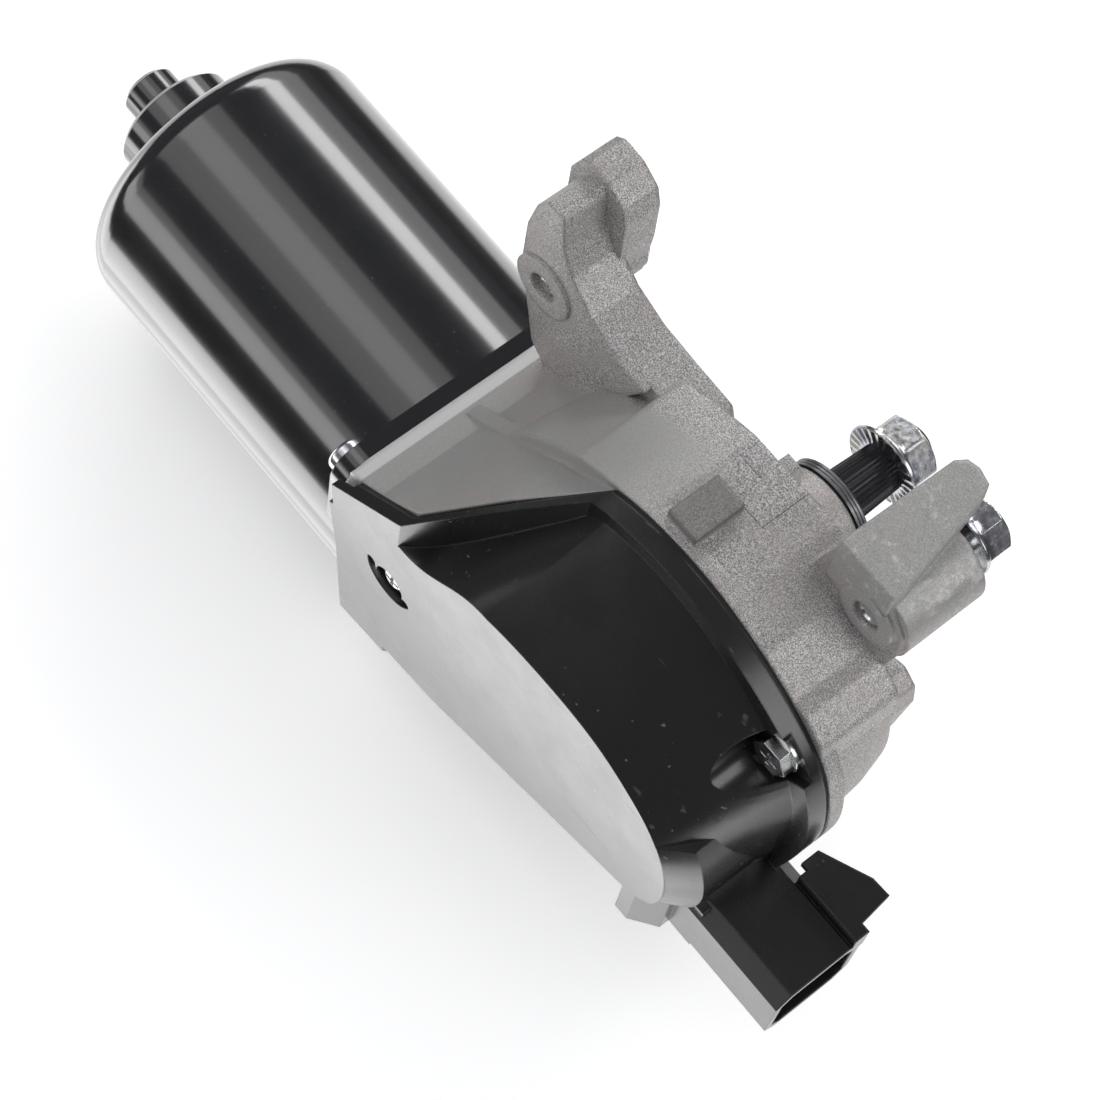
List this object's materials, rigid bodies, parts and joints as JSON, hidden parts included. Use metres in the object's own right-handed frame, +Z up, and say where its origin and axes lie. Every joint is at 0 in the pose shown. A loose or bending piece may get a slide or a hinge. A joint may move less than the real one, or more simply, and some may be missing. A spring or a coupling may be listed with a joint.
{
  "type": "wiper motor",
  "caption": "Windscreen wiper motor: a round steel can drives a worm and wheel in a cast gearbox with a moulded cover, plug socket, mounting feet and a toothed taper shaft with flange nut",
  "frame": {"origin": "on the axis of the output shaft, 19 mm behind the mounting faces of the feet", "axes": "+X along the armature from the can to the gearbox, +Y out along the output shaft, +Z up"},
  "size_m": [0.2235, 0.096, 0.1243],
  "materials": {
    "black_can": "gloss",
    "cast_alloy": "satin",
    "black_moulding": "satin",
    "zinc_steel": "satin",
    "dark_steel": "satin",
    "bright_steel": "satin",
    "copper": "satin",
    "brass_strip": "satin",
    "bronze": "satin",
    "ferrite": "matte",
    "carbon": "matte",
    "black_rubber": "matte",
    "felt": "matte",
    "white_nylon": "satin",
    "card": "matte",
    "amber_film": "gloss"
  },
  "bodies": {
    "motor": {"motor_can": "black_can", "field_magnets": "ferrite", "magnet_clips": "bright_steel", "rear_bush": "bronze", "oil_felt": "felt", "bearing_clip": "bright_steel", "can_screws": "zinc_steel", "gear_housing": "cast_alloy", "front_bush": "bronze", "worm_end_bush": "bronze", "thrust_pad": "white_nylon", "adjuster_screw": "dark_steel", "output_bushes": "bronze", "hub_seal": "black_rubber", "hub_washers": "bright_steel", "gear_cover": "black_moulding", "cover_gasket": "black_rubber", "cover_screws": "zinc_steel", "earth_screw": "zinc_steel", "contact_plate": "card", "park_contacts": "brass_strip", "connector_terminals": "brass_strip", "circuit_breaker": "bright_steel", "capacitor": "amber_film", "choke_coils": "copper", "brush_card": "card", "brush_holders": "brass_strip", "brushes": "carbon", "brush_springs": "bright_steel", "lead_grommet": "black_rubber", "mounting_bolts": "zinc_steel", "bolt_washers": "zinc_steel"},
    "armature": {"armature_shaft": "bright_steel", "lamination_core": "dark_steel", "windings": "copper", "slot_insulators": "card", "commutator": "copper", "commutator_hub": "card"},
    "output": {"output_shaft": "dark_steel", "worm_wheel": "white_nylon", "wheel_plate": "bright_steel", "park_disc": "copper", "shim_washer": "bright_steel", "shaft_circlip": "dark_steel"},
    "crank_nut": {"crank_nut": "zinc_steel"}
  },
  "joints": [
    {"name": "armature_spin", "type": "hinge", "parent": "motor", "child": "armature", "pos_m": [0, -0.0084, -0.025], "axis": [1, 0, 0], "continuous": true},
    {"name": "output_spin", "type": "hinge", "parent": "motor", "child": "output", "pos_m": [0, 0, 0], "axis": [0, 1, 0], "continuous": true},
    {"name": "nut_off", "type": "slide", "parent": "output", "child": "crank_nut", "axis": [0, 1, 0], "range_m": [0, 0.06]}
  ],
  "couplings": [
    {"joint": "output_spin", "follows": "armature_spin", "ratio": 0.019608}
  ]
}
